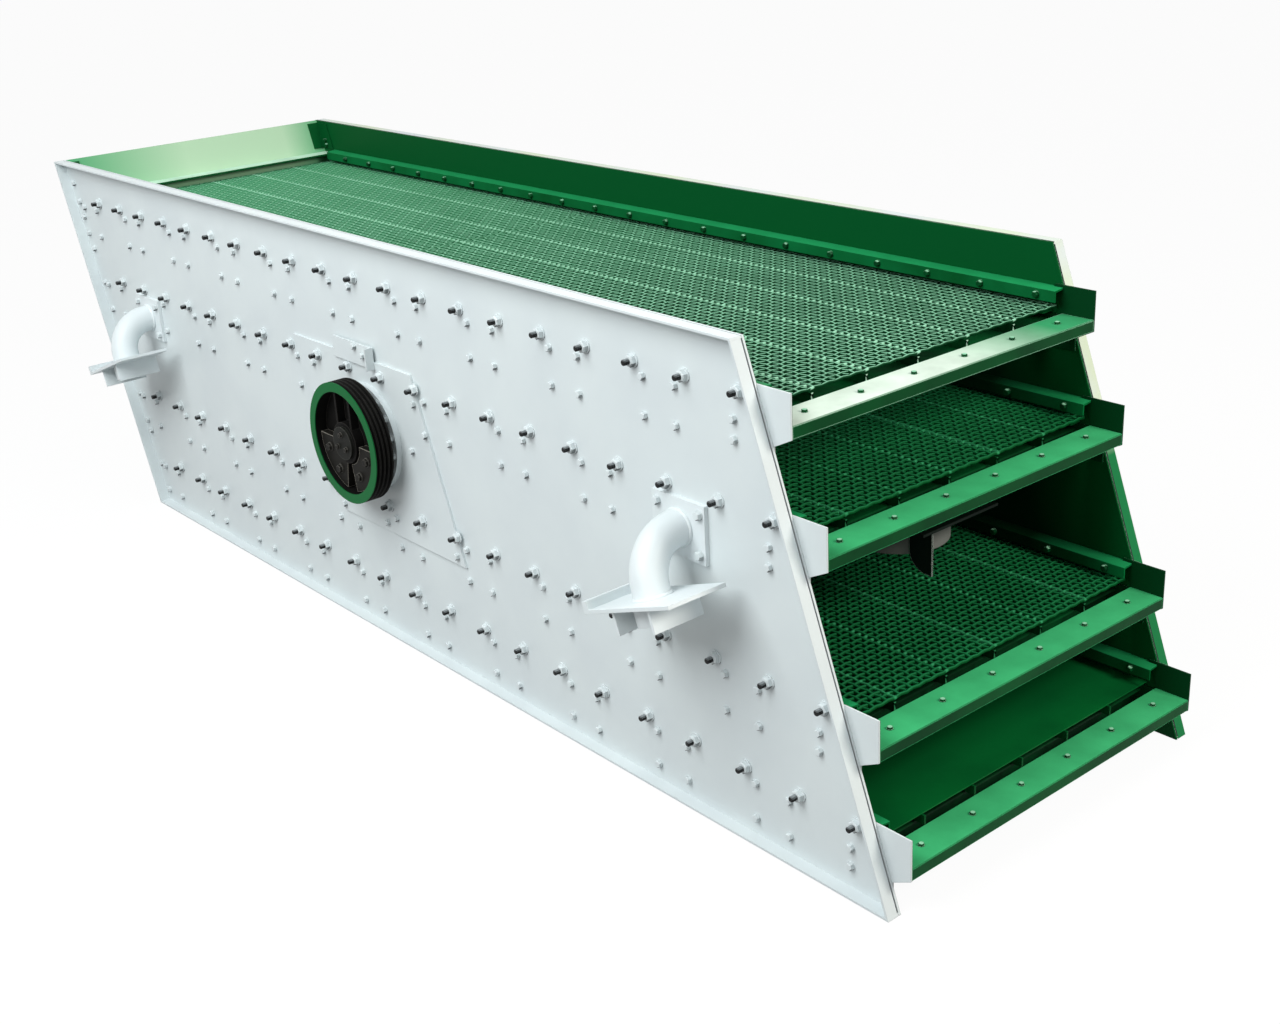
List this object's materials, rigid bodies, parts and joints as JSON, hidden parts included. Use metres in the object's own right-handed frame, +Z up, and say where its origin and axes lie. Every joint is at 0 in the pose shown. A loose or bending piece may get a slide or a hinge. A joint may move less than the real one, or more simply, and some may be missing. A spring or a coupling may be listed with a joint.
{
  "type": "vibrating sieve",
  "caption": "Inclined screening box: stacked mesh decks between bolted side plates, shaken by an eccentric shaft with a belt pulley and carried on bent-tube spring seats.",
  "frame": {"origin": "middle of the bounding box, on the plane the bottom edges stand on", "axes": "+X from feed end to discharge end, -Y drive side, +Z up"},
  "size_m": [7.0102, 2.57, 2.1],
  "materials": {
    "white_paint": "cool white enamel, semi-gloss",
    "deck_green": "dark green enamel, semi-gloss",
    "lip_green": "mid green enamel, semi-gloss",
    "mesh_green": "green painted woven wire",
    "wheel_green": "green enamel on castings",
    "grey_paint": "grey primer",
    "black_cast_iron": "black painted cast iron",
    "bearing_steel": "ground bearing steel",
    "plated_steel": "plain turned and plated steel"
  },
  "bodies": {
    "screen_box": {"belt_guard_bracket": "white_paint", "bottom_pan": "deck_green", "deck1_cross_beams": "deck_green", "deck1_discharge_lip": "lip_green", "deck1_mesh": "mesh_green", "deck1_support_bars": "deck_green", "deck2_cross_beams": "deck_green", "deck2_discharge_lip": "lip_green", "deck2_mesh": "mesh_green", "deck2_support_bars": "deck_green", "deck3_cross_beams": "deck_green", "deck3_discharge_lip": "lip_green", "deck3_mesh": "mesh_green", "deck3_support_bars": "deck_green", "drive_bearing_cover": "white_paint", "drive_bearing_housing": "white_paint", "drive_bearing_outer_ring": "bearing_steel", "drive_cheeks": "deck_green", "drive_clamp_nuts": "plated_steel", "drive_clamp_rails": "deck_green", "drive_discharge_support": "white_paint", "drive_edge_bars": "white_paint", "drive_feed_support": "white_paint", "drive_reinforcing_plate": "white_paint", "drive_side_angles": "deck_green", "drive_side_plate": "white_paint", "exciter_tube": "deck_green", "far_bearing_cover": "white_paint", "far_bearing_housing": "white_paint", "far_bearing_outer_ring": "bearing_steel", "far_cheeks": "deck_green", "far_clamp_nuts": "plated_steel", "far_clamp_rails": "deck_green", "far_discharge_support": "white_paint", "far_edge_bars": "white_paint", "far_feed_support": "white_paint", "far_reinforcing_plate": "white_paint", "far_side_angles": "deck_green", "far_side_plate": "white_paint", "feed_corner_angles": "deck_green", "feed_end_plate": "lip_green", "feed_hold_downs": "deck_green", "guard_baffle": "grey_paint", "guard_drum": "grey_paint", "lower_back_plates": "deck_green", "pan_cross_beams": "deck_green", "pan_discharge_lip": "lip_green", "pan_support_bars": "deck_green", "spring_cups": "white_paint"},
    "rotor": {"eccentric_shaft": "plated_steel", "drive_pulley": "black_cast_iron", "pulley_weights": "wheel_green", "pulley_end_plate": "wheel_green", "far_flywheel": "black_cast_iron", "flywheel_weights": "wheel_green", "flywheel_end_plate": "wheel_green", "drive_bearing_inner_ring": "bearing_steel", "far_bearing_inner_ring": "bearing_steel"},
    "drive_cage": {"drive_bearing_rollers": "bearing_steel"},
    "far_cage": {"far_bearing_rollers": "bearing_steel"}
  },
  "joints": [
    {"name": "exciter_spin", "type": "hinge", "parent": "screen_box", "child": "rotor", "pos_m": [-0.00507, 0, 1.09], "axis": [0, 1, 0], "continuous": true},
    {"name": "drive_cage_spin", "type": "hinge", "parent": "screen_box", "child": "drive_cage", "pos_m": [-0.00507, 0, 1.09], "axis": [0, 1, 0], "continuous": true},
    {"name": "far_cage_spin", "type": "hinge", "parent": "screen_box", "child": "far_cage", "pos_m": [-0.00507, 0, 1.09], "axis": [0, 1, 0], "continuous": true}
  ],
  "couplings": [
    {"joint": "drive_cage_spin", "follows": "exciter_spin", "ratio": 0.43609},
    {"joint": "far_cage_spin", "follows": "exciter_spin", "ratio": 0.43609}
  ]
}
